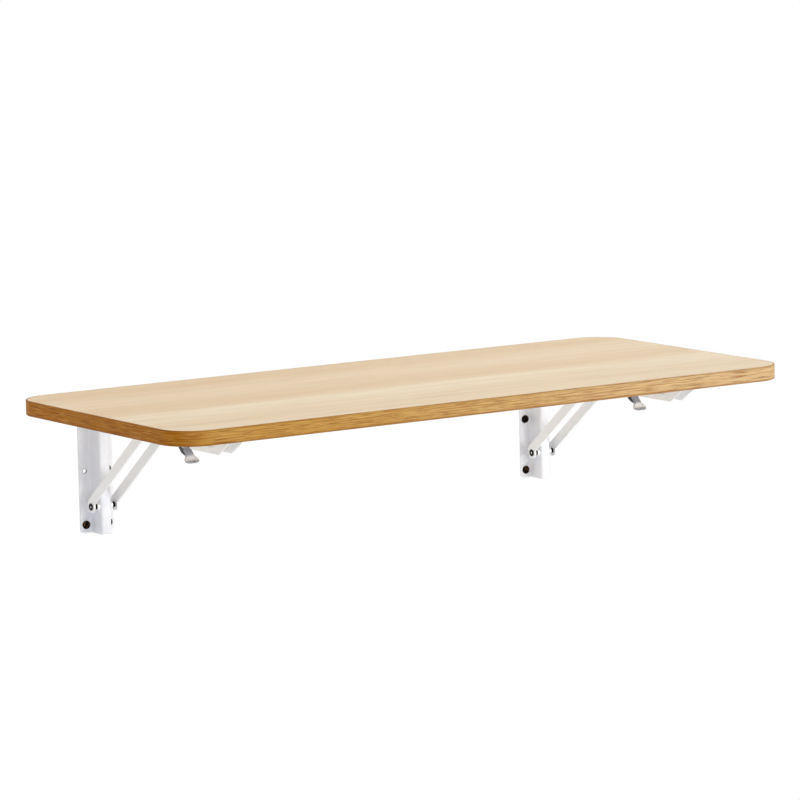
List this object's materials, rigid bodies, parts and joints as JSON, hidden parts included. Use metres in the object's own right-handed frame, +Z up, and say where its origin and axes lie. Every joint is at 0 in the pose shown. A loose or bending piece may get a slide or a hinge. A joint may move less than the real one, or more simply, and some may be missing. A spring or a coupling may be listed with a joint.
{
  "type": "wall mounted drop leaf table",
  "caption": "Rectangular oak-look leaf with rounded corners on folding steel wall brackets that latch open and let it fold down flat.",
  "frame": {"origin": "centre of the pattern of the outer wall screws, in the plane of the wall", "axes": "+X along the wall to the right as seen from the room, +Y into the wall, +Z up"},
  "size_m": [0.9, 0.437, 0.1795],
  "materials": {
    "oak_laminate": "matt printed oak grain",
    "oak_edge_band": "matt printed oak grain",
    "chipboard": "raw pressed board",
    "white_powder_coat": "white satin powder coat",
    "zinc_steel": "zinc plated",
    "black_screws": "black oxide",
    "lever_steel": "zinc plated sheet",
    "spring_steel": "drawn spring wire"
  },
  "bodies": {
    "wall_mount": {"wall_plate_left": "white_powder_coat", "wall_screws_left": "black_screws", "hinge_pin_left": "zinc_steel", "pivot_rivet_left": "zinc_steel", "pivot_spacers_left": "white_powder_coat", "wall_plate_right": "white_powder_coat", "wall_screws_right": "black_screws", "hinge_pin_right": "zinc_steel", "pivot_rivet_right": "zinc_steel", "pivot_spacers_right": "white_powder_coat"},
    "leaf": {"board_core": "chipboard", "top_facing": "oak_laminate", "underside_facing": "oak_laminate", "edge_band": "oak_edge_band", "support_arm_left": "white_powder_coat", "board_screws_left": "zinc_steel", "lever_pin_left": "zinc_steel", "lever_spring_left": "spring_steel", "support_arm_right": "white_powder_coat", "board_screws_right": "zinc_steel", "lever_pin_right": "zinc_steel", "lever_spring_right": "spring_steel"},
    "brace_left": {"brace_bar_left_outer": "white_powder_coat", "brace_bar_left_inner": "white_powder_coat", "brace_end_rivets_left": "zinc_steel"},
    "slider_left": {"slider_pin_left": "zinc_steel", "slider_collars_left": "white_powder_coat"},
    "lever_left": {"release_lever_left": "lever_steel"},
    "brace_right": {"brace_bar_right_outer": "white_powder_coat", "brace_bar_right_inner": "white_powder_coat", "brace_end_rivets_right": "zinc_steel"},
    "slider_right": {"slider_pin_right": "zinc_steel", "slider_collars_right": "white_powder_coat"},
    "lever_right": {"release_lever_right": "lever_steel"}
  },
  "joints": [
    {"name": "leaf_fold", "type": "hinge", "parent": "wall_mount", "child": "leaf", "pos_m": [0, -0.0185, 0.0667], "axis": [1, 0, 0], "range_deg": [0, 90]},
    {"name": "brace_left_turn", "type": "hinge", "parent": "wall_mount", "child": "brace_left", "pos_m": [-0.336, -0.0185, -0.0433], "axis": [1, 0, 0], "range_deg": [0, 129.54]},
    {"name": "slider_left_run", "type": "slide", "parent": "leaf", "child": "slider_left", "axis": [0, -1, 0], "range_m": [0, 0.14953]},
    {"name": "lever_left_press", "type": "hinge", "parent": "leaf", "child": "lever_left", "pos_m": [-0.336, -0.1809, 0.0573], "axis": [-1, 0, 0], "range_deg": [0, 12], "stiffness_Nm_per_rad": 0.05, "springref_deg": -28.65, "deforming": ["lever_spring_left"]},
    {"name": "brace_right_turn", "type": "hinge", "parent": "wall_mount", "child": "brace_right", "pos_m": [0.336, -0.0185, -0.0433], "axis": [1, 0, 0], "range_deg": [0, 129.54]},
    {"name": "slider_right_run", "type": "slide", "parent": "leaf", "child": "slider_right", "axis": [0, -1, 0], "range_m": [0, 0.14953]},
    {"name": "lever_right_press", "type": "hinge", "parent": "leaf", "child": "lever_right", "pos_m": [0.336, -0.1809, 0.0573], "axis": [-1, 0, 0], "range_deg": [0, 12], "stiffness_Nm_per_rad": 0.05, "springref_deg": -28.65, "deforming": ["lever_spring_right"]}
  ],
  "couplings": [
    {"joint": "brace_left_turn", "follows": "leaf_fold", "ratio": 1.4387},
    {"joint": "slider_left_run", "follows": "leaf_fold", "m_per_rad": 0.095162},
    {"joint": "brace_right_turn", "follows": "leaf_fold", "ratio": 1.4387},
    {"joint": "slider_right_run", "follows": "leaf_fold", "m_per_rad": 0.095162}
  ]
}
